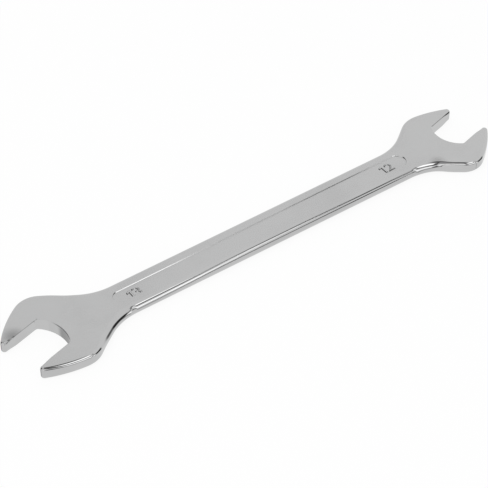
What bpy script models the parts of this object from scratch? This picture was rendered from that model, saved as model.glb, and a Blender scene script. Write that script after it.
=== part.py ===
# Double open end wrench, 13 mm by 12 mm, one drop forging with a bright plated finish.
#
# The forging is flat: two open jaws turned 15 degrees from the shank, one each way,
# joined by necks to a shank that is a little wider towards the 12 mm end.
# One outline runs round all of it, the jaws too. Its edges are rounded fully along the
# shank, less round the heads and their tips, and only a little inside the jaws.
# Both faces carry a long sunk panel.
#
# The shank runs along X, from the 13 mm head at -X to the 12 mm head at +X.
# The wrench lies flat: Z is its thickness, with the lower face at zero.
# The middle of its outline is at the origin. Lengths are in metres.

from math import atan2, ceil, cos, pi, radians, sin, sqrt

import bpy
import bmesh
from mathutils import Vector

# %% Driving sizes

# Both heads
jaw_tilt = radians(15.0)
head_centre_spacing = 0.14202
flank_radius = 0.0363
flank_lean = radians(18.35)
throat_corner_radius = 0.0011

# 13 mm head
gap_13 = 0.0131
offset_13 = -0.00061
head_half_width_13 = 0.01461
jaw_reach_13 = 0.01181
throat_depth_13 = 0.00274
throat_radius_13 = 0.01136
far_shoulder_radius_13 = 0.00738
near_shoulder_radius_13 = 0.00838
far_neck_foot_13 = 0.01810
near_neck_foot_13 = 0.01943
far_neck_angle_13 = radians(30.4)
near_neck_angle_13 = radians(34.2)

# 12 mm head
gap_12 = 0.0121
offset_12 = 0.00057
head_half_width_12 = 0.01385
jaw_reach_12 = 0.01146
throat_depth_12 = 0.00183
throat_radius_12 = 0.00864
far_shoulder_radius_12 = 0.00961
near_shoulder_radius_12 = 0.0067
far_neck_foot_12 = 0.0169
near_neck_foot_12 = 0.01298
far_neck_angle_12 = radians(34.7)
near_neck_angle_12 = radians(36.2)

# Shank
thickness = 0.0040
shank_width_13 = 0.01164
shank_width_12 = 0.0123
neck_radius = 0.0175

# Rounding of the edges, as a share of half the thickness along the shank, and as a share
# of the tip's own round at the tips. The rounding at the tip runs out along the jaw's
# flat and the flank, and that of the shank between two distances from a head's middle,
# measured along the shank.
shank_edge_share = 0.95
tip_edge_share = 0.9
head_edge_radius = 0.0010
jaw_edge_radius = 0.0003
tip_blend_length = 0.0040
flank_blend_share = 0.5
neck_blend_start = 0.0060
neck_blend_end = 0.0120

# Sunk panel, on both faces
panel_depth = 0.0003
panel_end_13 = 0.0205
panel_end_12 = 0.0169
panel_width_13 = 0.0044
panel_width_12 = 0.0057

# How finely the curves are divided
arc_step = radians(6.0)
fine_arc_step = radians(15.0)
edge_segments = 6
blend_steps = 8

# How far the cutters run past the metal, and how close points are welded
overrun = 0.0020
weld_distance = 0.000001


# %% Plane geometry

def arc(centre, radius, start, end, step=arc_step):
    """Points along an arc, from one angle to the other."""
    count = max(2, ceil(abs(end - start) / step))
    angles = [start + (end - start) * i / count for i in range(count + 1)]
    return [centre + radius * Vector((cos(a), sin(a))) for a in angles]


def arc_between(centre, first, last, step=arc_step):
    """The arc round a centre from one point to another, the shorter way."""
    a = atan2(first.y - centre.y, first.x - centre.x)
    b = atan2(last.y - centre.y, last.x - centre.x)
    turn = (b - a + pi) % (2.0 * pi) - pi
    return arc(centre, (first - centre).length, a, a + turn, step)


def corner(before, vertex, after, radius, step=arc_step):
    """A corner of two straight runs, given by their directions, rounded to a radius."""
    turn = before.angle_signed(after)
    reach = radius * abs(sin(turn / 2.0) / cos(turn / 2.0))
    start = vertex - before * reach
    side = Vector((before.y, -before.x)) * (1.0 if turn > 0.0 else -1.0)
    centre = start + side * radius
    return arc_between(centre, start, vertex + after * reach, step)


def mirrored(points):
    """The same points on the other side of the jaw's axis, in reverse."""
    return [Vector((p.x, -p.y)) for p in reversed(points)]


def divided(first, last, count):
    """Points along a straight run, without the first."""
    return [first.lerp(last, i / count) for i in range(1, count + 1)]


def eased(share):
    """A share from zero to one, with a soft start and end."""
    share = min(max(share, 0.0), 1.0)
    return share * share * (3.0 - 2.0 * share)


def blended(first, last, share):
    """A value that runs softly from one to another."""
    return first + (last - first) * eased(share)


# %% Heads

class Head:
    """One head: its jaw's own axes, and the sizes that its outline follows."""

    def __init__(self, end, gap, offset, half_width, reach, depth, throat_radius, sides):
        self.end = end
        self.gap = gap
        self.half_width = half_width
        self.reach = reach
        self.depth = depth
        self.throat_radius = throat_radius
        self.sides = sides
        self.centre = Vector((end * head_centre_spacing / 2.0, offset))
        self.turn = jaw_tilt if end > 0 else pi + jaw_tilt

    def to_world(self, points):
        """From the jaw's axes, X out of the mouth, to the wrench's."""
        c, s = cos(self.turn), sin(self.turn)
        return [self.centre + Vector((c * p.x - s * p.y, s * p.x + c * p.y)) for p in points]

    def to_jaw(self, vector):
        """A direction or an offset in the wrench's axes, in the jaw's."""
        c, s = cos(self.turn), sin(self.turn)
        return Vector((c * vector.x + s * vector.y, c * vector.y - s * vector.x))


head_13 = Head(-1, gap_13, offset_13, head_half_width_13, jaw_reach_13,
               throat_depth_13, throat_radius_13,
               {1: (far_shoulder_radius_13, far_neck_foot_13, far_neck_angle_13),
                -1: (near_shoulder_radius_13, near_neck_foot_13, near_neck_angle_13)})
head_12 = Head(1, gap_12, offset_12, head_half_width_12, jaw_reach_12,
               throat_depth_12, throat_radius_12,
               {1: (far_shoulder_radius_12, far_neck_foot_12, far_neck_angle_12),
                -1: (near_shoulder_radius_12, near_neck_foot_12, near_neck_angle_12)})


def half_shank(x):
    """Half the shank's width at a place along it."""
    share = x / head_centre_spacing + 0.5
    return (shank_width_13 + (shank_width_12 - shank_width_13) * share) / 2.0


def neck_edge_radius(x):
    """The rounding of the edges at a place along the shoulders, necks and shank."""
    from_middle = head_centre_spacing / 2.0 - abs(x)
    share = (from_middle - neck_blend_start) / (neck_blend_end - neck_blend_start)
    return blended(head_edge_radius, shank_edge_share * thickness / 2.0, share)


def head_side(head, side):
    """One side of a head, from inside its mouth round the tip and down to the shank.

    Each point comes with the rounding of the edges there. side is 1 for the side at +Y
    and -1 for the side at -Y. The flank of the jaw is one long arc. The tip is a full
    round between the flank, the jaw's flat and the jaw's reach. The shoulder is an arc
    that touches the flank from inside and runs into the straight back of the neck.
    """
    shoulder_radius, foot_distance, neck_angle = head.sides[side]
    flip = side * head.end
    half = head.gap / 2.0

    def to_jaw(vector):
        v = head.to_jaw(vector)
        return Vector((v.x, v.y * flip))

    # the flank's circle, and the tip's full round
    centre = Vector((-flank_radius * sin(flank_lean),
                     head.half_width - flank_radius * cos(flank_lean)))
    across = head.reach - centre.x
    up = half - centre.y
    b = up - across + flank_radius
    tip_radius = sqrt(b ** 2 - across ** 2 - up ** 2 + flank_radius ** 2) - b
    tip = Vector((head.reach - tip_radius, half + tip_radius))
    tip_start = Vector((tip.x, half))
    tip_end = centre + (tip - centre).normalized() * flank_radius

    # the shoulder between the flank and the straight back of the neck
    foot_x = head.end * (head_centre_spacing / 2.0 - foot_distance)
    foot = Vector((foot_x, side * half_shank(foot_x)))
    neck_way = Vector((-head.end * cos(neck_angle), -side * sin(neck_angle)))
    neck_in = to_jaw(Vector((head.end * sin(neck_angle), -side * cos(neck_angle))))
    line = to_jaw(foot - head.centre) + neck_in * shoulder_radius - centre
    way = to_jaw(neck_way)
    along = line.dot(way)
    back = sqrt(along ** 2 - line.length_squared + (flank_radius - shoulder_radius) ** 2)
    shoulder = centre + line - way * (along + back)
    shoulder_start = centre + (shoulder - centre).normalized() * flank_radius
    shoulder_end = shoulder - neck_in * shoulder_radius

    # in the jaw's axes: the end of the flat, the tip, the flank and the shoulder
    tip_edge = tip_edge_share * tip_radius
    blend_start = tip_start - Vector((tip_blend_length, 0.0))
    flat = [blend_start] + divided(blend_start, tip_start, blend_steps)
    rounding = [blended(jaw_edge_radius, tip_edge, i / blend_steps)
                for i in range(blend_steps + 1)]
    nose_turn = atan2(tip_end.y - tip.y, tip_end.x - tip.x)
    nose = arc(tip, tip_radius, -pi / 2.0, nose_turn, fine_arc_step)[1:]
    rounding += [tip_edge] * len(nose)
    flank = arc_between(centre, tip_end, shoulder_start, arc_step / 3.0)[1:]
    rounding += [blended(tip_edge, head_edge_radius, (i + 1) / len(flank) / flank_blend_share)
                 for i in range(len(flank))]
    bend = arc_between(shoulder, shoulder_start, shoulder_end)[1:]
    points = head.to_world([Vector((p.x, p.y * flip)) for p in flat + nose + flank + bend])

    # the straight back and the neck's fillet, which runs into the shank
    widening = half_shank(head_centre_spacing) - half_shank(0.0)
    along_shank = Vector((head_centre_spacing, side * widening)).normalized() * -head.end
    fillet = corner(neck_way, foot, along_shank, neck_radius)
    points += divided(points[-1], fillet[0], blend_steps) + fillet[1:]
    rounding += [neck_edge_radius(p.x) for p in points[len(rounding):]]
    return points, rounding


def throat_side(head):
    """The inside of a jaw between its flats: a hollow curve with two round corners."""
    corner_y = head.gap / 2.0 - throat_corner_radius
    throat = Vector((head.throat_radius - head.depth, 0.0))
    drop = sqrt((head.throat_radius - throat_corner_radius) ** 2 - corner_y ** 2)
    turn = Vector((throat.x - drop, corner_y))
    meets = throat + (turn - throat).normalized() * head.throat_radius
    path = arc_between(turn, turn + Vector((0.0, throat_corner_radius)), meets, fine_arc_step)
    path += arc_between(throat, meets, Vector((throat.x - head.throat_radius, 0.0)))[1:]
    path = head.to_world(path + mirrored(path[:-1]))
    return path, [jaw_edge_radius] * len(path)


def whole_outline():
    """The outline, anticlockwise, and the rounding of the edges at each of its points."""
    outline = []
    rounding = []
    for (points, radii), backwards in ((head_side(head_13, -1), False),
                                       (head_side(head_12, -1), True),
                                       (throat_side(head_12), True),
                                       (head_side(head_12, 1), False),
                                       (head_side(head_13, 1), True),
                                       (throat_side(head_13), True)):
        outline += reversed(points) if backwards else points
        rounding += reversed(radii) if backwards else radii
    return outline, rounding


def panel_outline():
    """The sunk panel: a long taper with a round end at each neck."""
    r13 = panel_width_13 / 2.0
    r12 = panel_width_12 / 2.0
    c13 = Vector((-head_centre_spacing / 2.0 + panel_end_13 + r13, 0.0))
    c12 = Vector((head_centre_spacing / 2.0 - panel_end_12 - r12, 0.0))
    # the straight sides touch both rounds
    lean = atan2(r12 - r13, sqrt((c12 - c13).length_squared - (r12 - r13) ** 2))
    edge = pi / 2.0 + lean
    return arc(c13, r13, edge, 2.0 * pi - edge) + arc(c12, r12, -edge, edge)


# %% Solids from outlines

def flat_solid(name, outline, low, high, collection):
    """A flat solid between two heights, drawn as a filled 2D curve and made a mesh."""
    data = bpy.data.curves.new(name, 'CURVE')
    data.dimensions = '2D'
    data.fill_mode = 'BOTH'
    data.extrude = (high - low) / 2.0
    spline = data.splines.new('POLY')
    spline.points.add(len(outline) - 1)
    for point, place in zip(spline.points, outline):
        point.co = (place.x, place.y, 0.0, 1.0)
    spline.use_cyclic_u = True
    drawn = bpy.data.objects.new(name + '_drawn', data)
    drawn.location.z = (high + low) / 2.0
    collection.objects.link(drawn)
    bpy.context.view_layer.update()

    mesh = bpy.data.meshes.new_from_object(
        drawn.evaluated_get(bpy.context.evaluated_depsgraph_get()))
    solid = bpy.data.objects.new(name, mesh)
    solid.matrix_world = drawn.matrix_world
    collection.objects.link(solid)
    bpy.data.objects.remove(drawn, do_unlink=True)

    # weld the caps on, and make each one a single face again
    bm = bmesh.new()
    bm.from_mesh(mesh)
    bmesh.ops.remove_doubles(bm, verts=bm.verts, dist=weld_distance)
    for way in (1.0, -1.0):
        cap = [f for f in bm.faces if f.normal.z * way > 0.5]
        bmesh.ops.dissolve_faces(bm, faces=cap, use_verts=False)
    bmesh.ops.recalc_face_normals(bm, faces=bm.faces)
    bm.to_mesh(mesh)
    bm.free()
    return solid


def rounded_slab(name, outline, rounding, height, collection):
    """A slab whose rim is rounded above and below, each point by an amount of its own.

    Rings of points climb from the lower face round its edge, up the wall and round the
    upper edge. Neighbouring rings are joined, and the first and last ones are filled.
    """
    around = list(zip(outline[-1:] + outline[:-1], outline, outline[1:] + outline[:1]))
    outward = []
    for before, point, after in around:
        way = (point - before).normalized() + (after - point).normalized()
        outward.append(Vector((way.y, -way.x)).normalized())
    steps = [pi / 2.0 * k / edge_segments for k in range(edge_segments + 1)]
    levels = [(False, a) for a in steps] + [(True, a) for a in reversed(steps)]

    bm = bmesh.new()
    rings = []
    for upper, a in levels:
        ring = []
        for point, normal, radius in zip(outline, outward, rounding):
            place = point - normal * radius * (1.0 - sin(a))
            climb = radius * (1.0 - cos(a))
            ring.append(bm.verts.new((place.x, place.y, height - climb if upper else climb)))
        rings.append(ring)
    for low, high in zip(rings, rings[1:]):
        for i in range(len(outline)):
            bm.faces.new((low[i - 1], low[i], high[i], high[i - 1]))
    bm.faces.new(reversed(rings[0]))
    bm.faces.new(rings[-1])
    bmesh.ops.recalc_face_normals(bm, faces=bm.faces)
    mesh = bpy.data.meshes.new(name)
    bm.to_mesh(mesh)
    bm.free()
    slab = bpy.data.objects.new(name, mesh)
    collection.objects.link(slab)
    return slab


def cut(solid, cutter):
    """Take one solid out of another, and keep the cutter out of the picture."""
    boolean = solid.modifiers.new(cutter.name, 'BOOLEAN')
    boolean.operation = 'DIFFERENCE'
    boolean.solver = 'EXACT'
    boolean.object = cutter
    cutter.display_type = 'WIRE'
    cutter.hide_render = True


def plated_steel(name):
    """Bright chromium over polished steel."""
    material = bpy.data.materials.new(name)
    material.use_nodes = True
    shader = material.node_tree.nodes['Principled BSDF']
    shader.inputs['Base Color'].default_value = (0.55, 0.556, 0.565, 1.0)
    shader.inputs['Metallic'].default_value = 1.0
    shader.inputs['Roughness'].default_value = 0.12
    return material


# %% The wrench

def main():
    for leftover in list(bpy.data.objects):
        bpy.data.objects.remove(leftover, do_unlink=True)

    wrench = bpy.data.collections.new('open_end_wrench')
    cutters = bpy.data.collections.new('cutters')
    bpy.context.scene.collection.children.link(wrench)
    bpy.context.scene.collection.children.link(cutters)

    # the forging, with its edges rounded
    outline, rounding = whole_outline()
    forging = rounded_slab('wrench_forging', outline, rounding, thickness, wrench)

    # a sunk panel in each face
    panel = panel_outline()
    cut(forging, flat_solid('upper_panel', panel, thickness - panel_depth,
                            thickness + overrun, cutters))
    cut(forging, flat_solid('lower_panel', panel, -overrun, panel_depth, cutters))

    forging.data.materials.append(plated_steel('bright_plated_steel'))
    forging.data.shade_smooth()
    forging.data.set_sharp_from_angle(angle=radians(30.0))

    # everything hangs on one empty, which brings the outline's middle to the origin
    middle = bpy.data.objects.new('wrench_origin', None)
    wrench.objects.link(middle)
    for piece in list(wrench.objects) + list(cutters.objects):
        if piece is not middle:
            piece.parent = middle
    middle.location.x = -(min(p.x for p in outline) + max(p.x for p in outline)) / 2.0
    middle.location.y = -(min(p.y for p in outline) + max(p.y for p in outline)) / 2.0
    bpy.context.view_layer.update()

    bounds = [forging.matrix_world @ Vector(c) for c in forging.evaluated_get(
        bpy.context.evaluated_depsgraph_get()).bound_box]
    for axis, name in enumerate('XYZ'):
        values = [b[axis] for b in bounds]
        print(name, 'from', round(min(values), 5), 'to', round(max(values), 5))


if __name__ == '__main__':
    main()
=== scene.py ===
# %% [markdown]
# A double open end wrench in bright chromium plate
#
# The real thing is one drop forging: two heads and a shank in a single piece of steel,
# with nothing screwed, pinned or glued to it. It was hammered between two dies, trimmed,
# cut at the jaws, polished, and plated with a thin layer of chromium. So this lesson has
# one large piece to make, two small size marks in low relief, and one finish to get right.
# We load the measured model first, because everything else is placed on it.

# %% Load the measured model
from math import atan2, ceil, cos, pi, radians, sin, sqrt

import bpy
from mathutils import Matrix, Vector
from mathutils.geometry import tessellate_polygon


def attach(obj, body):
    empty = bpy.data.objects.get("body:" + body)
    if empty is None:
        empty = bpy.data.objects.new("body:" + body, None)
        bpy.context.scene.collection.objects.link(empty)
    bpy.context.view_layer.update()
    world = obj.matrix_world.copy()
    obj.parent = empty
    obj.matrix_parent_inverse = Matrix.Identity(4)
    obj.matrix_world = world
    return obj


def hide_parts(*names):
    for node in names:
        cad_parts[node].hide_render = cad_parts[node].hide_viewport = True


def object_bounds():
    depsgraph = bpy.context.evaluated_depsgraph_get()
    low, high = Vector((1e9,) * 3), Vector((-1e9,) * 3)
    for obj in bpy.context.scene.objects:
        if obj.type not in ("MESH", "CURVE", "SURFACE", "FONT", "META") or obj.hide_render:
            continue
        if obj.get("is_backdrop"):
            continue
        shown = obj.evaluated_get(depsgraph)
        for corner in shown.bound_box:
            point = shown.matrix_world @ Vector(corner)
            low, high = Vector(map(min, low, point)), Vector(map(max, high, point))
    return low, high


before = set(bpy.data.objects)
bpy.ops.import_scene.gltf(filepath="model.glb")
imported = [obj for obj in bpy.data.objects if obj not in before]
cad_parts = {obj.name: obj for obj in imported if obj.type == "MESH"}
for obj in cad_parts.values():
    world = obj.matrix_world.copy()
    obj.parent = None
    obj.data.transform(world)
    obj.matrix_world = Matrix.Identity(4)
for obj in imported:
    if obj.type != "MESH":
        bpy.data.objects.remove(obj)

model_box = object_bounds()
size = model_box[1] - model_box[0]
print("the model measures", [round(1000 * v, 2) for v in size], "mm")
print("its pieces are", list(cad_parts))

# %% [markdown]
# The camera
#
# The wrench lies flat and is seen from above, from the near corner by the 13 mm head,
# through a long lens. We write the view as a maker would say it: which point it looks at,
# from how far, from which side and from how high. Turning those words into a matrix by
# hand keeps every one of them adjustable, which a camera placed by eye would not allow.

# %% Camera
view_azimuth = radians(35.515)
view_elevation = radians(43.277)
view_distance = 0.5282
view_target = Vector((-0.005051, 0.000507, 0.0))
target_scale = 3435.8          # picture pixels to a metre at the target
picture_width = 488.0
film_width = 36.0              # in millimetres


def make_camera():
    """A camera that looks at the target from the distance, side and height above."""
    forward = Vector((sin(view_azimuth) * cos(view_elevation),
                      cos(view_azimuth) * cos(view_elevation), -sin(view_elevation)))
    right = Vector((cos(view_azimuth), -sin(view_azimuth), 0.0))
    up = right.cross(forward)
    data = bpy.data.cameras.new("camera")
    camera = bpy.data.objects.new("camera", data)
    bpy.context.scene.collection.objects.link(camera)
    turned = Matrix((right, up, -forward)).transposed()
    place = view_target - forward * view_distance
    camera.matrix_world = Matrix.Translation(place) @ turned.to_4x4()
    data.sensor_width = film_width
    data.lens = film_width * target_scale * view_distance / picture_width
    data.clip_start = 0.01
    data.clip_end = 20.0
    bpy.context.scene.camera = camera
    bpy.context.scene.view_settings.view_transform = "Standard"
    return camera


camera = make_camera()
print("lens", round(camera.data.lens, 1), "mm, camera at",
      [round(v, 3) for v in camera.matrix_world.translation])

# %% [markdown]
# Small helpers for node work
#
# Shading networks are made of many little nodes. A few short helpers keep the recipes
# readable: one adds a node and sets its values, one does a sum, and one makes a soft
# window, which is 1 between two limits and fades to 0 outside them.

# %% Node helpers
def add_node(tree, kind, **values):
    """A new node with its settings."""
    node = tree.nodes.new(kind)
    for name, value in values.items():
        setattr(node, name, value)
    return node


def feed(tree, socket, value):
    """Link an output to a socket, or write a plain value into it."""
    if isinstance(value, bpy.types.NodeSocket):
        tree.links.new(value, socket)
    else:
        socket.default_value = value


def sums(tree, operation, a, b=0.0, c=0.0, clamp=False):
    """One sum on up to three outputs or plain values."""
    node = add_node(tree, "ShaderNodeMath", operation=operation, use_clamp=clamp)
    for socket, value in zip(node.inputs, (a, b, c)):
        feed(tree, socket, value)
    return node.outputs[0]


def step_up(tree, value, start, end):
    """0 below start, 1 above end, and a smooth rise between."""
    node = add_node(tree, "ShaderNodeMapRange", interpolation_type="SMOOTHSTEP")
    feed(tree, node.inputs["Value"], value)
    feed(tree, node.inputs["From Min"], start)
    feed(tree, node.inputs["From Max"], end)
    return node.outputs["Result"]


def window(tree, value, low, high, soft):
    """1 between low and high, fading to 0 over the soft width outside."""
    rise = step_up(tree, value, low - soft, low)
    fall = step_up(tree, value, high, high + soft)
    return sums(tree, "SUBTRACT", rise, fall, clamp=True)


print("helpers", [helper.__name__ for helper in (add_node, feed, sums, step_up, window)])

# %% [markdown]
# The studio
#
# Polished chromium has almost no colour of its own. What we see in it is the room. A
# wrench like this is photographed in a white tent: nearly everything round it is one
# pale tone, and it comes out an even grey. The life is all in the narrow rounds of its
# edges, which sweep through the whole room in a millimetre and pick up the lamp panels in
# front and the dark gaps beside them.
#
# The tent is written into the world. Only mirror rays meet it: diffuse rays get an even
# white, and the camera gets plain white. Two ways of naming a direction are handy. One is
# a compass side and a height. The other suits things that run along the shank: how far a
# direction leans along the shank, and how high it stands over the near side. A long round
# edge shows one lean at each place along it, so a lamp strip written in leans and heights
# turns into one clean line along the rim.

# %% World directions
degree = 180.0 / pi


def ways_of_looking(tree):
    """Compass side, height, lean along the shank and height over the near side, in degrees."""
    way = add_node(tree, "ShaderNodeTexCoord").outputs["Generated"]
    parts = add_node(tree, "ShaderNodeSeparateXYZ")
    tree.links.new(way, parts.inputs[0])
    x, y, z = parts.outputs
    near = sums(tree, "MULTIPLY", y, -1.0)
    side = sums(tree, "MULTIPLY", sums(tree, "ARCTAN2", y, x), degree)
    height = sums(tree, "MULTIPLY", sums(tree, "ARCSINE", z), degree)
    lean = sums(tree, "MULTIPLY", sums(tree, "ARCSINE", x), degree)
    climb = sums(tree, "MULTIPLY", sums(tree, "ARCTAN2", z, near), degree)
    return side, height, lean, climb


def course(tree, value, places, heights):
    """A line through the heights at the places, level beyond both ends."""
    low, reach = min(heights), max(heights) - min(heights) or 1.0
    run = places[-1] - places[0]
    along = sums(tree, "MULTIPLY_ADD", value, 1.0 / run, -places[0] / run)
    node = add_node(tree, "ShaderNodeValToRGB")
    feed(tree, node.inputs["Fac"], along)
    stops = node.color_ramp.elements
    for place, height in zip(places, heights):
        spot = (place - places[0]) / run
        stop = stops[0] if spot == 0.0 else stops[-1] if spot == 1.0 else stops.new(spot)
        shade = (height - low) / reach
        stop.color = (shade, shade, shade, 1.0)
    return sums(tree, "MULTIPLY_ADD", node.outputs["Color"], reach, low)


def lay_over(tree, share, under, level):
    """The tone under, turned into the level by the share."""
    mixed = add_node(tree, "ShaderNodeMix", data_type="FLOAT")
    feed(tree, mixed.inputs[0], share)
    feed(tree, mixed.inputs[2], under)
    feed(tree, mixed.inputs[3], level)
    return mixed.outputs[0]


print("one radian is", round(degree, 2), "degrees")

# %% [markdown]
# The tent's patches and strips
#
# In such a tent the photographer hangs lamp panels and leaves gaps, and a chromium edge
# shows where. We could model panels as cards round the wrench, but those would stand in
# the way of other views, so we paint them on the world. A patch is a window in compass
# side and height. A strip runs along the shank, and its middle height is set at each lean.
#
# These numbers come from a separate program. These numbers were fitted by least squares to
# the photograph's greys along the rim, the walls and the other tilted faces, and the
# results were rounded. The patches, about a third of the strips' heights and nearly half of
# their shares were changed since. What each one is called below is a guess at what stood
# there.
# So this table is not one to copy: a better lesson would hang a few panels by hand.

# %% Tent
tent_tone = 0.87               # the wall beyond the far side
near_glow = 0.045              # how much brighter it is on the right and on the near side
glow_sides = (75.0, 40.0)      # the compass sides between which that comes in
diffuse_white = 0.80           # what diffuse rays get
strip_end_fade = 6.0           # over how many degrees the strips fade out past their ends
plain_white = (1.0, 1.0, 1.0, 1.0)

# patches: side from and to, height from and to, softness sideways and upright, brightness
tent_patches = (
    # the dark gap that blackens the 13 head's shoulder and neck
    (-48.0, -19.0, -18.0, 10.0, 8.5, 10.0, 0.03),
    # an upright frame beside the camera
    (-108.0, -99.0, -7.0, 76.0, 5.5, 16.0, 0.18),
    # the lamp beyond it, which whitens the jaw's tip
    (-133.0, -117.0, 4.0, 30.0, 4.5, 8.0, 1.30),
    # the dark camera and its boom, nearly overhead
    (-150.0, 60.0, 78.0, 90.0, 8.5, 9.0, 0.12),
    # a lamp panel over the camera, white on the 13 head's flank
    (-92.0, -55.0, 43.5, 58.0, 6.0, 6.0, 2.10),
    # the dark doorway beyond the far side, which draws the throat's edge and the size marks
    (124.0, 161.0, 7.0, 50.0, 11.0, 10.0, 0.14),
    # and the floor in front of it, grey on the throat's wall
    (95.0, 132.0, -60.0, -32.0, 22.0, 18.0, 0.50),
)

# strips along the shank, over its near side. At each lean: the strip's middle height, and
# how fully it is there
strip_leans = (-32.0, -25.0, -17.0, -8.0, 1.0, 8.0, 15.0, 21.3, 22.4, 23.5, 24.8, 27.0, 28.4,
               30.0, 30.6, 32.0, 35.0, 39.0, 44.0)
tent_strips = (
    # the upper dark gap
    dict(half=5.4, soft=7.5, level=0.11,
         heights=(66, 60, 54, 40, 32, 31, 32, 39, 42, 49, 61, 60, 46, 46, 35, 20, 14, -6, -29),
         shares=(1.0, 0.9, 0.9, 1.0, 1.0, 0.6, 0.6, 0.9, 0.9, 0.8, 0.8, 0.9, 1.0, 1.0, 0.8, 0.8,
                 0.7, 0.5, 0.4)),
    # the lamp strip
    dict(half=5.2, soft=8.5, level=1.90,
         heights=(57, 37, 23, 11, 7, 5, 6, 3, 9, 19, 36, 46, 20, 20, -6, -20, -18, -18, -30),
         shares=(0.2, 0.3, 0.4, 0.6, 0.7, 0.8, 0.8, 1.0, 1.0, 0.8, 0.4, 0.2, 0.0, 0.0, 0.2, 0.9,
                 0.9, 0.7, 0.1)),
    # the lower dark gap
    dict(half=5.8, soft=4.0, level=0.04,
         heights=(19, -13, -4, -11, -17, -15, -20, -33, -19, -6, 3, 3, 4, 4, -2, -47, -38, -36, -39),
         shares=(0.9, 0.8, 0.7, 0.4, 0.5, 0.5, 0.5, 0.6, 0.6, 0.7, 0.7, 0.7, 1.0, 1.0, 0.5, 0.7,
                 0.6, 0.6, 0.6)),
)


def make_studio():
    """The white tent as a world, with its patches and strips for mirror rays only."""
    world = bpy.data.worlds.new("white_tent")
    bpy.context.scene.world = world
    world.use_nodes = True
    tree = world.node_tree
    tree.nodes.clear()
    side, height, lean, climb = ways_of_looking(tree)

    glow = step_up(tree, side, *glow_sides)
    tone = sums(tree, "MULTIPLY_ADD", glow, near_glow, tent_tone)
    for left, right, low, high, soft_side, soft_height, level in tent_patches:
        across = window(tree, side, left, right, soft_side)
        upright = window(tree, height, low, high, soft_height)
        tone = lay_over(tree, sums(tree, "MULTIPLY", across, upright), tone, level)
    for strip in tent_strips:
        middle = course(tree, lean, strip_leans, strip["heights"])
        share = course(tree, lean, strip_leans, strip["shares"])
        ends = window(tree, lean, strip_leans[0], strip_leans[-1], strip_end_fade)
        off = sums(tree, "SUBTRACT", climb, middle)
        band = window(tree, off, -strip["half"], strip["half"], strip["soft"])
        share = sums(tree, "MULTIPLY", sums(tree, "MULTIPLY", share, ends), band)
        tone = lay_over(tree, share, tone, strip["level"])

    # an even white for diffuse rays, the tent for mirror rays, and white for the camera
    rays = add_node(tree, "ShaderNodeLightPath")
    mirror = lay_over(tree, rays.outputs["Is Glossy Ray"], diffuse_white, tone)
    seen = lay_over(tree, rays.outputs["Is Camera Ray"], mirror, 1.0)
    light = add_node(tree, "ShaderNodeBackground")
    light.inputs["Color"].default_value = plain_white
    tree.links.new(seen, light.inputs["Strength"])
    out = add_node(tree, "ShaderNodeOutputWorld")
    tree.links.new(light.outputs[0], out.inputs["Surface"])
    return len(tree.nodes)


print("tent with", len(tent_patches), "patches and", len(tent_strips), "strips,",
      make_studio(), "nodes")

# %% [markdown]
# Floor and lamp
#
# The floor is a plain pale sheet. Its own colour is nearly white, and for the camera nine
# tenths of it is plain white, so the ground stays pale while the wrench still lays a faint
# shadow on it. Mirror rays pass it by: the tent goes on below the table's edge, and it is
# what the underside of a round edge reflects. One large soft lamp above gives the shadow
# a side.

# %% Floor and lamp
floor_half = 1.5
floor_drop = 0.00005           # a hair under the wrench, so the two faces never fight
floor_white = 0.90             # how much of the floor is plain white to the camera
floor_colour = (0.94, 0.94, 0.94, 1.0)
lamp_side = 0.8
lamp_power = 2.6
lamp_place = (-0.35, -0.10, 0.95)


def make_floor():
    """A flat sheet under the wrench, which mirror rays don't meet."""
    mesh = bpy.data.meshes.new("floor")
    a = floor_half
    mesh.from_pydata([(-a, -a, -floor_drop), (a, -a, -floor_drop),
                      (a, a, -floor_drop), (-a, a, -floor_drop)], [], [(0, 1, 2, 3)])
    floor = bpy.data.objects.new("floor", mesh)
    bpy.context.scene.collection.objects.link(floor)
    floor.visible_glossy = False
    material = bpy.data.materials.new("pale_floor")
    material.use_nodes = True
    tree = material.node_tree
    tree.nodes.clear()
    matt = add_node(tree, "ShaderNodeBsdfDiffuse")
    matt.inputs["Color"].default_value = floor_colour
    white = add_node(tree, "ShaderNodeEmission")
    white.inputs["Color"].default_value = plain_white
    white.inputs["Strength"].default_value = 1.0
    rays = add_node(tree, "ShaderNodeLightPath")
    share = sums(tree, "MULTIPLY", rays.outputs["Is Camera Ray"], floor_white)
    mix = add_node(tree, "ShaderNodeMixShader")
    tree.links.new(share, mix.inputs[0])
    tree.links.new(matt.outputs[0], mix.inputs[1])
    tree.links.new(white.outputs[0], mix.inputs[2])
    out = add_node(tree, "ShaderNodeOutputMaterial")
    tree.links.new(mix.outputs[0], out.inputs["Surface"])
    mesh.materials.append(material)
    floor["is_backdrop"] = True
    return floor


def make_lamp():
    """One square soft lamp over the wrench, aimed at its middle."""
    data = bpy.data.lights.new("soft_lamp", "AREA")
    data.shape = "SQUARE"
    data.size = lamp_side
    data.energy = lamp_power
    lamp = bpy.data.objects.new("soft_lamp", data)
    bpy.context.scene.collection.objects.link(lamp)
    lamp.location = lamp_place
    lamp.rotation_euler = (-lamp.location).to_track_quat("-Z", "Y").to_euler()
    lamp.visible_camera = False
    lamp.visible_glossy = False
    return lamp


floor = make_floor()
lamp = make_lamp()
print("floor", 2 * floor_half, "m wide, lamp", lamp.data.size, "m square")
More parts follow.
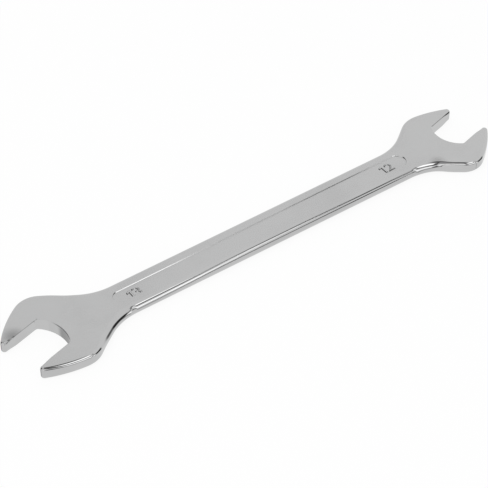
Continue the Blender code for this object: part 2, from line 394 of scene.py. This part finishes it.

# %% [markdown]
# The finish
#
# Chromium plate is a mirror with a cool cast, laid over steel that was polished by hand
# against a belt and then tumbled. Three faint things keep it from looking like a perfect
# mirror: a slow swell left by the polishing, hair lines along the belt's way, and a haze
# of wipe marks that makes some spots a touch duller. Two more depend on the place: flat
# faces keep the belt's satin while tumbled edges shine, and at two spots on the upper face
# a painted dark reflection darkens the plate's colour. Each is a node group with named
# sockets, so the forging and its size marks can share them with values of their own.

# %% Shared effects
hair_line_share = (0.58, 0.78)     # noise levels between which a hair line shows
haze_share = (0.42, 0.72)          # and between which a wipe mark does
flat_full = 0.9995                 # how upright a normal is where a face counts as flat
spot_heights = (0.0036, 0.0039)    # a painted dark spot comes in between them, on the upper face


def new_group(name, inputs, outputs):
    """An empty shader group with named number sockets, and its two end nodes."""
    group = bpy.data.node_groups.new(name, "ShaderNodeTree")
    for label, value in inputs:
        socket = group.interface.new_socket(label, in_out="INPUT", socket_type="NodeSocketFloat")
        socket.default_value = value
    for label in outputs:
        group.interface.new_socket(label, in_out="OUTPUT", socket_type="NodeSocketFloat")
    start = group.nodes.new("NodeGroupInput")
    end = group.nodes.new("NodeGroupOutput")
    return group, start, end


def noise(tree, place, scale, detail, roughness=0.5):
    """The value of a noise at the place."""
    node = add_node(tree, "ShaderNodeTexNoise")
    tree.links.new(place, node.inputs["Vector"])
    feed(tree, node.inputs["Scale"], scale)
    node.inputs["Detail"].default_value = detail
    node.inputs["Roughness"].default_value = roughness
    return node.outputs[0]


def swell_group():
    """Slow unevenness of polished steel. Scale is swells per metre."""
    tree, start, end = new_group("polished_swell", [("Scale", 90.0), ("Depth", 1.0)], ["Height"])
    place = add_node(tree, "ShaderNodeTexCoord").outputs["Object"]
    value = noise(tree, place, start.outputs["Scale"], 2.0)
    tree.links.new(sums(tree, "MULTIPLY", value, start.outputs["Depth"]), end.inputs["Height"])
    return tree


def hair_line_group():
    """Hair lines along X. Scale is lines per metre across them."""
    tree, start, end = new_group("hair_lines", [("Scale", 9000.0), ("Stretch", 0.02)],
                                 ["Height", "Mask"])
    place = add_node(tree, "ShaderNodeTexCoord").outputs["Object"]
    parts = add_node(tree, "ShaderNodeSeparateXYZ")
    tree.links.new(place, parts.inputs[0])
    joined = add_node(tree, "ShaderNodeCombineXYZ")
    drawn_out = sums(tree, "MULTIPLY", parts.outputs[0], start.outputs["Stretch"])
    for socket, value in zip(joined.inputs, (drawn_out, parts.outputs[1], parts.outputs[2])):
        tree.links.new(value, socket)
    value = noise(tree, joined.outputs[0], start.outputs["Scale"], 3.0, 0.7)
    tree.links.new(value, end.inputs["Height"])
    tree.links.new(step_up(tree, value, *hair_line_share), end.inputs["Mask"])
    return tree


def haze_group():
    """Wipe marks: soft patches that are a touch duller than the rest."""
    tree, start, end = new_group("wipe_haze", [("Scale", 60.0), ("Amount", 1.0)], ["Mask"])
    place = add_node(tree, "ShaderNodeTexCoord").outputs["Object"]
    broad = noise(tree, place, start.outputs["Scale"], 4.0, 0.6)
    patches = step_up(tree, broad, *haze_share)
    tree.links.new(sums(tree, "MULTIPLY", patches, start.outputs["Amount"]), end.inputs["Mask"])
    return tree


def flat_face_group():
    """1 on the flat faces and 0 on what is rounded. Start is how upright a normal has to be."""
    tree, start, end = new_group("flat_face", [("Start", 0.985)], ["Mask"])
    facing = add_node(tree, "ShaderNodeTexCoord").outputs["Normal"]
    parts = add_node(tree, "ShaderNodeSeparateXYZ")
    tree.links.new(facing, parts.inputs[0])
    level = sums(tree, "ABSOLUTE", parts.outputs[2])
    tree.links.new(step_up(tree, level, start.outputs["Start"], flat_full), end.inputs["Mask"])
    return tree


def painted_dark_spot_group():
    """A painted dark reflection on the upper face: the colour darkens softly round a point."""
    tree, start, end = new_group("painted_dark_spot", [("X", 0.0), ("Y", 0.0), ("Reach", 0.005),
                                                 ("Amount", 0.3)], ["Mask"])
    place = add_node(tree, "ShaderNodeTexCoord").outputs["Object"]
    parts = add_node(tree, "ShaderNodeSeparateXYZ")
    tree.links.new(place, parts.inputs[0])
    x = sums(tree, "SUBTRACT", parts.outputs[0], start.outputs["X"])
    y = sums(tree, "SUBTRACT", parts.outputs[1], start.outputs["Y"])
    away = sums(tree, "SQRT", sums(tree, "ADD", sums(tree, "MULTIPLY", x, x),
                                   sums(tree, "MULTIPLY", y, y)))
    near = sums(tree, "SUBTRACT", 1.0, step_up(tree, away, 0.0, start.outputs["Reach"]))
    near = sums(tree, "MULTIPLY", near, step_up(tree, parts.outputs[2], *spot_heights))
    tree.links.new(sums(tree, "MULTIPLY", near, start.outputs["Amount"]), end.inputs["Mask"])
    return tree


swell, hair_lines, haze = swell_group(), hair_line_group(), haze_group()
flat_face, painted_dark_spot = flat_face_group(), painted_dark_spot_group()
print("groups", [g.name for g in (swell, hair_lines, haze, flat_face, painted_dark_spot)])

# %% [markdown]
# The plate itself
#
# Nickel and then chromium are grown on the polished steel in a bath, a coat a few
# hundredths of a millimetre thick. It could be drawn as a clear coat over a paint, but it
# is bare metal all through, so we make it metal with a reflectance of its own and let the
# shared effects vary its colour, its roughness and its height. The size marks get the same
# plate, with a painted dark reflection on every face that isn't flat, which is what makes
# them readable.

# %% Chromium plate
plate_bright = (0.557, 0.558, 0.559, 1.0)
plate_dull = (0.511, 0.512, 0.513, 1.0)
# the colour of the painted dark reflections: the two spots on the forging and the marks' sloping
# sides
plate_shaded = (0.02, 0.02, 0.02, 1.0)
belt_satin = 0.20              # how much rougher the flats are than the tumbled edges
haze_roughness = 0.05          # and how much rougher the wipe marks and hair lines are
line_roughness = 0.03
mark_flat_start = 0.8          # on the small marks, flats begin at a more tilted normal
painted_dark_spots = (
    # painted dark reflections on the 13 head's far tip, and on the 12 head's near neck
    dict(X=-0.0803, Y=0.0037, Reach=0.0045, Amount=0.42),
    dict(X=0.0613, Y=-0.0075, Reach=0.0034, Amount=0.27),
)


def chromium(name, swell_scale, swell_height, line_height, roughness, haze_amount,
             spots=(), painted_side_shade=0.0):
    """Bright chromium over polished steel. Heights are in metres."""
    material = bpy.data.materials.new(name)
    material.use_nodes = True
    tree = material.node_tree
    shader = tree.nodes["Principled BSDF"]
    shader.inputs["Metallic"].default_value = 1.0

    def placed(group, **values):
        """A shared effect in this material, with values of its own where it needs them."""
        node = add_node(tree, "ShaderNodeGroup", node_tree=group)
        for label, value in values.items():
            node.inputs[label].default_value = value
        return node

    def turned_into(other, mask, colour):
        """The colour, turned into the other one where the mask is 1."""
        node = add_node(tree, "ShaderNodeMix", data_type="RGBA")
        feed(tree, node.inputs[0], mask)
        feed(tree, node.inputs[6], colour)
        feed(tree, node.inputs[7], other)
        return node.outputs[2]

    waves = placed(swell, Scale=swell_scale)
    lines = placed(hair_lines)
    dull = placed(haze, Amount=haze_amount)
    flats = placed(flat_face)

    colour = turned_into(plate_dull, dull.outputs["Mask"], plate_bright)
    # painted dark reflection: round each spot the colour turns to plate_shaded
    for spot in spots:
        colour = turned_into(plate_shaded, placed(painted_dark_spot, **spot).outputs["Mask"], colour)
    if painted_side_shade:
        # painted dark reflection: on the marks, every face that isn't flat is darkened
        flat_tops = placed(flat_face, Start=mark_flat_start)
        foot = sums(tree, "SUBTRACT", 1.0, flat_tops.outputs["Mask"])
        colour = turned_into(plate_shaded, sums(tree, "MULTIPLY", foot, painted_side_shade), colour)
    tree.links.new(colour, shader.inputs["Base Color"])

    rough = sums(tree, "MULTIPLY_ADD", dull.outputs["Mask"], haze_roughness, roughness)
    rough = sums(tree, "MULTIPLY_ADD", flats.outputs["Mask"], belt_satin, rough)
    rough = sums(tree, "MULTIPLY_ADD", lines.outputs["Mask"], line_roughness, rough)
    tree.links.new(rough, shader.inputs["Roughness"])

    height = sums(tree, "MULTIPLY", waves.outputs["Height"], swell_height)
    height = sums(tree, "MULTIPLY_ADD", lines.outputs["Height"], line_height, height)
    bump = add_node(tree, "ShaderNodeBump")
    bump.inputs["Strength"].default_value = 1.0
    bump.inputs["Distance"].default_value = 1.0
    tree.links.new(height, bump.inputs["Height"])
    tree.links.new(bump.outputs["Normal"], shader.inputs["Normal"])
    return material


forging_plate = chromium("chromium_on_forging", swell_scale=90.0, swell_height=0.00002,
                         line_height=0.0000002, roughness=0.05, haze_amount=0.6,
                         spots=painted_dark_spots)
# on the marks, painted_side_shade darkens the sloping sides as a painted dark reflection
mark_plate = chromium("chromium_on_marks", swell_scale=400.0, swell_height=0.00001,
                      line_height=0.0000002, roughness=0.10, haze_amount=0.8, painted_side_shade=0.55)
print("finishes", forging_plate.name, mark_plate.name)

# %% [markdown]
# The forging: its sizes
#
# The measured model is faceted, and facets show at once in a mirror. So we draw the same
# forging again, from the same sizes, with far finer curves and with exact normals, and
# let it stand in for the measured piece. Lengths are in metres. A side of a head is given
# by its shoulder's radius, how far its neck's foot is from the head's middle, and the
# angle of the neck.

# %% Sizes
jaw_tilt = radians(15.0)
head_spacing = 0.14202
flank_radius = 0.0363
flank_lean = radians(18.35)
throat_corner = 0.0011
thickness = 0.0040
shank_width = (0.01164, 0.0123)
neck_radius = 0.0175
shank_round = 0.0019
head_round = 0.0010
jaw_round = 0.0003
tip_share = 0.9                # of the tip's own round
tip_fade = 0.0040              # how far along the jaw's flat the tip's rounding fades out
round_starts, round_ends = 0.0060, 0.0120     # from a head's middle: where its rim widens
outline_middle = Vector((0.000231303, -0.000115644))    # moves the outline's box to the middle

head_sizes = (
    dict(end=-1, gap=0.0131, offset=-0.00061, half_width=0.01461, reach=0.01181,
         depth=0.00274, throat=0.01136,
         sides={1: (0.00738, 0.01810, radians(30.4)), -1: (0.00838, 0.01943, radians(34.2))}),
    dict(end=1, gap=0.0121, offset=0.00057, half_width=0.01385, reach=0.01146,
         depth=0.00183, throat=0.00864,
         sides={1: (0.00961, 0.0169, radians(34.7)), -1: (0.0067, 0.01298, radians(36.2))}),
)
panel_depth = 0.0003
panel_ends = (0.0205, 0.0169)
panel_widths = (0.0044, 0.0057)
panel_round = 0.0001
panel_slope = radians(60.0)
print("sizes for heads of", [round(1000 * h["gap"], 1) for h in head_sizes], "mm")

# %% [markdown]
# The forging: its outline
#
# A toolmaker draws a wrench's outline with a compass: a full round at the jaw's tip, a
# long flank, a shoulder, the straight back of the neck, and a fillet into the shank. Each
# arc touches the next. We follow the same steps, so a change of one size redraws the
# whole outline without a kink, which tracing a picture point by point would never do.

# %% Arcs
fine = radians(2.0)
coarse = radians(6.0)
straight_steps = 12
same_place = 0.0000001         # points closer than this are one


def arc(centre, radius, start, end, step):
    """Points on an arc from one angle to another, both ends with it."""
    count = max(2, ceil(abs(end - start) / step))
    return [centre + radius * Vector((cos(a), sin(a)))
            for a in (start + (end - start) * i / count for i in range(count + 1))]


def arc_between(centre, first, last, step):
    """The shorter arc round the centre from the first point towards the last."""
    a = atan2(first.y - centre.y, first.x - centre.x)
    b = atan2(last.y - centre.y, last.x - centre.x)
    return arc(centre, (first - centre).length, a, a + (b - a + pi) % (2.0 * pi) - pi, step)


def fillet(before, vertex, after, radius, step):
    """The round that joins a line coming into the vertex to the line going out of it."""
    turn = before.angle_signed(after)
    reach = radius * abs(sin(turn / 2.0) / cos(turn / 2.0))
    start = vertex - before * reach
    side = Vector((before.y, -before.x)) * (1.0 if turn > 0.0 else -1.0)
    return arc_between(start + side * radius, start, vertex + after * reach, step)


def straight(first, last, count):
    """Points between two others, without the first."""
    return [first.lerp(last, i / count) for i in range(1, count + 1)]


def eased(share):
    """0 at 0 and 1 at 1, with level ends."""
    share = min(max(share, 0.0), 1.0)
    return share * share * (3.0 - 2.0 * share)


print("a quarter turn has", len(arc(Vector((0.0, 0.0)), 1.0, 0.0, pi / 2.0, fine)), "points")

# %% [markdown]
# Where the edges are round
#
# The rim isn't rounded alike everywhere. The shank's edges are full and soft in the hand,
# the heads' are tighter, and the jaws' are only broken, except near the tips, where
# tumbling wore them. So every point of the outline carries a rounding of its own.

# %% Roundings
def half_shank(x):
    """Half of the shank's width, which grows from the 13 head to the 12 head."""
    share = x / head_spacing + 0.5
    return (shank_width[0] + (shank_width[1] - shank_width[0]) * share) / 2.0


def rim_round(x):
    """The rim's rounding along the shoulders, necks and shank."""
    away = head_spacing / 2.0 - abs(x)
    share = eased((away - round_starts) / (round_ends - round_starts))
    return head_round + (shank_round - head_round) * share


class Head:
    """A head's own axes: X out of the mouth, turned 15 degrees from the shank."""

    def __init__(self, sizes):
        self.size = sizes
        self.end = sizes["end"]
        self.centre = Vector((self.end * head_spacing / 2.0, sizes["offset"]))
        self.turn = jaw_tilt if self.end > 0 else pi + jaw_tilt

    def to_world(self, points):
        c, s = cos(self.turn), sin(self.turn)
        return [self.centre + Vector((c * p.x - s * p.y, s * p.x + c * p.y)) for p in points]

    def to_jaw(self, vector):
        c, s = cos(self.turn), sin(self.turn)
        return Vector((c * vector.x + s * vector.y, c * vector.y - s * vector.x))


heads = [Head(sizes) for sizes in head_sizes]
print("rounding at the middle", 1000 * rim_round(0.0), "mm, at a neck",
      round(1000 * rim_round(heads[0].centre.x + 0.017), 2), "mm")

# %% [markdown]
# One side of a head
#
# The die for such a head was laid out with a compass: a broad arc for the flank, a full
# round at the tip, a round shoulder, and a neck that sweeps into the shank. A traced
# curve would fit as well but couldn't be resized, so we find where each circle touches
# the next and draw only the arcs between. Each point carries its edge's rounding with it.

# %% One side of a head
def head_side(head, side):
    """Points from the jaw's flat round the tip to the shank, with each edge's rounding."""
    size = head.size
    shoulder_radius, foot_distance, neck_angle = size["sides"][side]
    flip = side * head.end
    half = size["gap"] / 2.0

    def to_jaw(vector):
        v = head.to_jaw(vector)
        return Vector((v.x, v.y * flip))

    # the flank's circle, and the tip's full round, which touches it, the flat and the reach.
    # The tip's radius is the one that puts its centre a difference of radii from the flank's
    centre = Vector((-flank_radius * sin(flank_lean),
                     size["half_width"] - flank_radius * cos(flank_lean)))
    across, up = size["reach"] - centre.x, half - centre.y
    b = up - across + flank_radius
    tip_radius = sqrt(b * b - across ** 2 - up ** 2 + flank_radius ** 2) - b
    tip = Vector((size["reach"] - tip_radius, half + tip_radius))
    tip_end = centre + (tip - centre).normalized() * flank_radius

    # the shoulder between the flank and the straight back of the neck
    foot_x = head.end * (head_spacing / 2.0 - foot_distance)
    foot = Vector((foot_x, side * half_shank(foot_x)))
    neck_way = Vector((-head.end * cos(neck_angle), -side * sin(neck_angle)))
    neck_in = to_jaw(Vector((head.end * sin(neck_angle), -side * cos(neck_angle))))
    line = to_jaw(foot - head.centre) + neck_in * shoulder_radius - centre
    way = to_jaw(neck_way)
    along = line.dot(way)
    back = sqrt(along ** 2 - line.length_squared + (flank_radius - shoulder_radius) ** 2)
    shoulder = centre + line - way * (along + back)
    shoulder_start = centre + (shoulder - centre).normalized() * flank_radius
    shoulder_end = shoulder - neck_in * shoulder_radius

    tip_round = tip_share * tip_radius
    start = Vector((tip.x, half))
    flat = [start - Vector((tip_fade * (1.0 - i / straight_steps), 0.0))
            for i in range(straight_steps)]
    nose = arc(tip, tip_radius, -pi / 2.0, atan2(tip_end.y - tip.y, tip_end.x - tip.x), coarse)
    flank = arc_between(centre, tip_end, shoulder_start, fine / 4.0)[1:]
    bend = arc_between(shoulder, shoulder_start, shoulder_end, fine)[1:]
    points = head.to_world([Vector((p.x, p.y * flip)) for p in flat + nose + flank + bend])
    rounds = [jaw_round + (tip_round - jaw_round) * eased(i / straight_steps)
              for i in range(straight_steps)]
    rounds += [tip_round] * len(nose)
    rounds += [tip_round + (head_round - tip_round) * eased(2.0 * i / len(flank))
               for i in range(len(flank))]

    # the straight back and the neck's fillet, which runs into the shank
    widening = half_shank(head_spacing) - half_shank(0.0)
    along_shank = Vector((head_spacing, side * widening)).normalized() * -head.end
    neck = fillet(neck_way, foot, along_shank, neck_radius, fine)
    points += straight(points[-1], neck[0], straight_steps) + neck[1:]
    rounds += [rim_round(p.x) for p in points[len(rounds):]]
    return points, rounds


for head in heads:
    print(len(head_side(head, 1)[0]), "points on one side of a head")

# %% [markdown]
# One jaw
#
# The jaw is broached after forging, so its flats are straight, parallel and a tenth of a
# millimetre wider than the nut. Behind them the throat curves back to clear the nut's
# corner, with small rounds where it leaves the flats, because a sharp corner would crack.

# %% One jaw
def jaw_side(head):
    """The rest of the jaw: the curved throat with its two rounded corners."""
    size = head.size
    throat = Vector((size["throat"] - size["depth"], 0.0))
    corner_y = size["gap"] / 2.0 - throat_corner
    drop = sqrt((size["throat"] - throat_corner) ** 2 - corner_y ** 2)
    turn = Vector((throat.x - drop, corner_y))
    meets = throat + (turn - throat).normalized() * size["throat"]
    path = arc_between(turn, turn + Vector((0.0, throat_corner)), meets, coarse)
    path += arc_between(throat, meets, Vector((throat.x - size["throat"], 0.0)), fine)[1:]
    path += [Vector((p.x, -p.y)) for p in reversed(path[:-1])]
    return head.to_world(path), [jaw_round] * len(path)


print("throat points", len(jaw_side(heads[0])[0]), "and", len(jaw_side(heads[1])[0]))

# %% [markdown]
# The whole outline
#
# Four sides and two jaws join into one closed line. We keep it anticlockwise and give each
# point the normal of its own two edges, because the rings below step inward along it.

# %% The whole outline
def whole_outline():
    """The outline anticlockwise, with each point's outward normal and edge rounding."""
    points, rounds = [], []
    for path, turned in ((head_side(heads[0], 1), False), (head_side(heads[1], 1), True),
                         (jaw_side(heads[1]), False), (head_side(heads[1], -1), False),
                         (head_side(heads[0], -1), True), (jaw_side(heads[0]), False)):
        order = -1 if turned else 1
        for point, rounding in zip(path[0][::order], path[1][::order]):
            if not points or (point - points[-1]).length > same_place:
                points.append(point)
                rounds.append(rounding)
    if (points[0] - points[-1]).length < same_place:
        points.pop()
        rounds.pop()
    area = sum(a.x * b.y - b.x * a.y for a, b in zip(points, points[1:] + points[:1]))
    if area < 0.0:
        points.reverse()
        rounds.reverse()
    normals = []
    for i, point in enumerate(points):
        before = point - points[i - 1]
        after = points[(i + 1) % len(points)] - point
        way = before.normalized() * after.length + after.normalized() * before.length
        way.normalize()
        normals.append(Vector((way.y, -way.x)))
    return [p + outline_middle for p in points], normals, rounds


outline, outward, rounds = whole_outline()
print(len(outline), "points round the outline, edges rounded",
      round(1000 * min(rounds), 2), "to", round(1000 * max(rounds), 2), "mm")

# %% [markdown]
# The forging: its body
#
# From the outline we raise rings: down over the rounded top edge, down the wall, and in
# under the lower edge. Every ring's normal follows from the rings' own slopes, so we hand
# those normals to the mesh instead of letting them be averaged. On a mirror that makes
# the difference between a clean highlight and a wobbling one. The flat faces are filled
# round the sunk panel, and the panel is stepped down with rings of its own.

# %% Panel outline
def panel_outline():
    """The panel's outline with its normals: two round ends and the straights between."""
    r13, r12 = panel_widths[0] / 2.0, panel_widths[1] / 2.0
    c13 = Vector((-head_spacing / 2.0 + panel_ends[0] + r13, 0.0))
    c12 = Vector((head_spacing / 2.0 - panel_ends[1] - r12, 0.0))
    lean = atan2(r12 - r13, sqrt((c12 - c13).length_squared - (r12 - r13) ** 2))
    edge = pi / 2.0 + lean
    points, normals = [], []
    for centre, radius, start, end in ((c13, r13, edge, 2.0 * pi - edge), (c12, r12, -edge, edge)):
        for point in arc(centre, radius, start, end, coarse):
            points.append(point + outline_middle)
            normals.append((point - centre).normalized())
    return points, normals


panel, panel_outward = panel_outline()
print("panel", round(1000 * (max(p.x for p in panel) - min(p.x for p in panel)), 1), "mm long")

# %% [markdown]
# The body's rings
#
# A bevel modifier would give every edge one width. Here the width runs from full at the
# shank to barely broken at the jaws, so the rounded edge is built ring by ring, each point
# turning through a quarter circle of its own radius.

# %% Body mesh
round_steps = 12               # rings over one rounded edge
slope_steps = 5                # rings over each bend of the panel's step


def edge_rings(up):
    """Rings over one rounded edge, from the flat face to the wall. up is 1 or -1."""
    rings = []
    for k in range(round_steps + 1):
        a = pi / 2.0 * k / round_steps
        places = []
        for point, normal, r in zip(outline, outward, rounds):
            place = point - normal * (r * (1.0 - sin(a)))
            drop = r * (1.0 - cos(a))
            places.append(Vector((place.x, place.y, thickness - drop if up > 0 else drop)))
        ring = []
        for i, place in enumerate(places):
            along = places[(i + 1) % len(places)] - places[i - 1]
            over = Vector((outward[i].x * cos(a), outward[i].y * cos(a), -up * sin(a)))
            ring.append((place, along.cross(over).normalized() * -up))
        rings.append(ring)
    return rings


def panel_rings(up):
    """Rings down the panel's sloping step, from the face to the panel's floor."""
    profile = []
    for k in range(slope_steps + 1):
        a = panel_slope * k / slope_steps
        profile.append((panel_round * sin(a), panel_round * (1.0 - cos(a)), a))
    run, drop = profile[-1][0], profile[-1][1]
    fall = panel_depth - 2.0 * drop
    slope_run = fall * cos(panel_slope) / sin(panel_slope)
    for k in range(slope_steps + 1):
        a = panel_slope * (1.0 - k / slope_steps)
        profile.append((2.0 * run + slope_run - panel_round * sin(a),
                        panel_depth - panel_round * (1.0 - cos(a)), a))
    rings = []
    for inset, deep, a in profile:
        ring = []
        for point, normal in zip(panel, panel_outward):
            place = point - normal * inset
            z = thickness - deep if up > 0 else deep
            ring.append((Vector((place.x, place.y, z)),
                         Vector((-normal.x * sin(a), -normal.y * sin(a), up * cos(a)))))
        rings.append(ring)
    return rings


class Shell:
    """Collects points, faces and the exact normal of each face corner."""

    def __init__(self):
        self.points, self.faces, self.normals = [], [], []

    def add_ring(self, ring):
        first = len(self.points)
        self.points += [place for place, normal in ring]
        return [(first + i, normal) for i, (place, normal) in enumerate(ring)]

    def face(self, corners):
        self.faces.append([index for index, normal in corners])
        self.normals += [normal for index, normal in corners]

    def band(self, upper, lower):
        """Quads between two rings that run anticlockwise, upper above or inside lower."""
        for i in range(len(upper)):
            j = (i + 1) % len(upper)
            self.face((upper[i], lower[i], lower[j], upper[j]))

    def cap(self, up, loops):
        """A flat face bounded by one loop, or by a loop with a hole in it."""
        flat = Vector((0.0, 0.0, float(up)))
        corners = [corner for loop in loops for corner in loop]
        for triangle in tessellate_polygon([[self.points[i] for i, n in loop] for loop in loops]):
            a, b, c = [self.points[corners[t][0]] for t in triangle]
            order = triangle if (b - a).cross(c - a).z * up > 0.0 else triangle[::-1]
            self.face([(corners[t][0], flat) for t in order])


def make_forging():
    """Both faces with their rounded edges and panels, joined by the wall."""
    shell = Shell()
    walls = {}
    for up in (1, -1):
        rings = [shell.add_ring(ring) for ring in edge_rings(up)]
        steps = [shell.add_ring(ring) for ring in panel_rings(up)]
        for upper, lower in zip(rings, rings[1:]):
            shell.band(*((upper, lower) if up > 0 else (lower, upper)))
        for outer, inner in zip(steps, steps[1:]):
            shell.band(*((inner, outer) if up > 0 else (outer, inner)))
        shell.cap(up, [rings[0], steps[0]])
        shell.cap(up, [steps[-1]])
        walls[up] = rings[-1]
    shell.band(walls[1], walls[-1])
    mesh = bpy.data.meshes.new("wrench_body")
    mesh.from_pydata(shell.points, [], shell.faces)
    mesh.shade_smooth()
    mesh.normals_split_custom_set(shell.normals)
    mesh.materials.append(forging_plate)
    body = bpy.data.objects.new("wrench_body", mesh)
    bpy.context.scene.collection.objects.link(body)
    return body


body = make_forging()
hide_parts("wrench_forging")
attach(body, "root")
print("forging:", len(body.data.vertices), "points,", len(body.data.polygons), "faces")

# %% [markdown]
# The size marks
#
# The dies raise each jaw's size on the floor of the panel, a fifth of a millimetre high,
# with sloping sides so that the steel lets go of the die. A filled curve with a straight
# bevel gives that slope without any carving. Half of the bevel is under the floor, where
# nobody sees it. The strokes are made thinner first, and the bevel brings them back to full
# width. A die cutter's 1 is a bar with a long flag, so that one is drawn by its corners.
# The round numerals come from the plain typeface, each stretched to its own place.

# %% Size marks
mark_relief = 0.00020
mark_thinning = 0.00013
drawn_width, drawn_height = 0.0015, 0.0030      # of a 1, before it is fitted to its place
type_size = 0.0040
sharp_edge = radians(30.0)
one_corners = ((0.55, 0.0), (1.0, 0.0), (1.0, 1.0), (0.62, 1.0), (0.0, 0.86), (0.0, 0.66),
               (0.55, 0.76))


def draw_numeral(text):
    """A curve with the numeral, about 3 mm tall."""
    if text == "1":
        data = bpy.data.curves.new("numeral", "CURVE")
        data.dimensions = "2D"
        data.fill_mode = "BOTH"
        line = data.splines.new("POLY")
        line.points.add(len(one_corners) - 1)
        for point, (x, y) in zip(line.points, one_corners):
            point.co = (drawn_width * x, drawn_height * y, 0.0, 1.0)
        line.use_cyclic_u = True
    else:
        data = bpy.data.curves.new("numeral", "FONT")
        data.body = text
        data.size = type_size
        data.resolution_u = 6
    data.offset = -mark_thinning
    data.bevel_depth = mark_relief
    data.bevel_resolution = 0
    return data


def numeral_mesh(text, left, right, bottom, top):
    """Points and faces of a numeral that fills the given place on the panel's floor."""
    drawn = bpy.data.objects.new("numeral", draw_numeral(text))
    bpy.context.scene.collection.objects.link(drawn)
    bpy.context.view_layer.update()
    mesh = bpy.data.meshes.new_from_object(
        drawn.evaluated_get(bpy.context.evaluated_depsgraph_get()))
    bpy.data.objects.remove(drawn, do_unlink=True)
    points = [v.co.copy() for v in mesh.vertices]
    for axis, start, end in ((0, left, right), (1, bottom, top)):
        low, high = min(p[axis] for p in points), max(p[axis] for p in points)
        for p in points:
            p[axis] = start + (end - start) * (p[axis] - low) / (high - low)
    for p in points:
        p.z += thickness - panel_depth
    return points, [tuple(face.vertices) for face in mesh.polygons]


def size_mark(name, numerals):
    """One mesh with a mark's numerals. Each has its left, right, bottom and top."""
    points, faces = [], []
    for numeral in numerals:
        more_points, more_faces = numeral_mesh(*numeral)
        faces += [tuple(len(points) + i for i in face) for face in more_faces]
        points += more_points
    mesh = bpy.data.meshes.new(name)
    mesh.from_pydata(points, [], faces)
    mesh.materials.append(mark_plate)
    mesh.shade_smooth()
    mesh.set_sharp_from_angle(angle=sharp_edge)
    mark = bpy.data.objects.new(name, mesh)
    bpy.context.scene.collection.objects.link(mark)
    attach(mark, "root")
    return mark


mark_numerals = dict(
    size_mark_13=(("1", -0.0460, -0.0444, -0.0030, 0.0006), ("3", -0.0442, -0.0417, -0.0028, 0.0007)),
    size_mark_12=(("1", 0.0447, 0.0464, -0.0022, 0.0011), ("2", 0.0467, 0.0492, -0.0022, 0.0011)),
)
for name, numerals in mark_numerals.items():
    mark = size_mark(name, numerals)
    print(name, "is", [round(1000 * v, 2) for v in mark.dimensions], "mm")

# %% [markdown]
# Measure
#
# The dressed wrench is meant to fit the measured model's box, so both boxes are printed
# side by side.

# %% Boxes
dressed_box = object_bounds()
for label, box in (("model", model_box), ("dressed", dressed_box)):
    print(label, [round(1000 * v, 2) for v in box[0]], [round(1000 * v, 2) for v in box[1]])
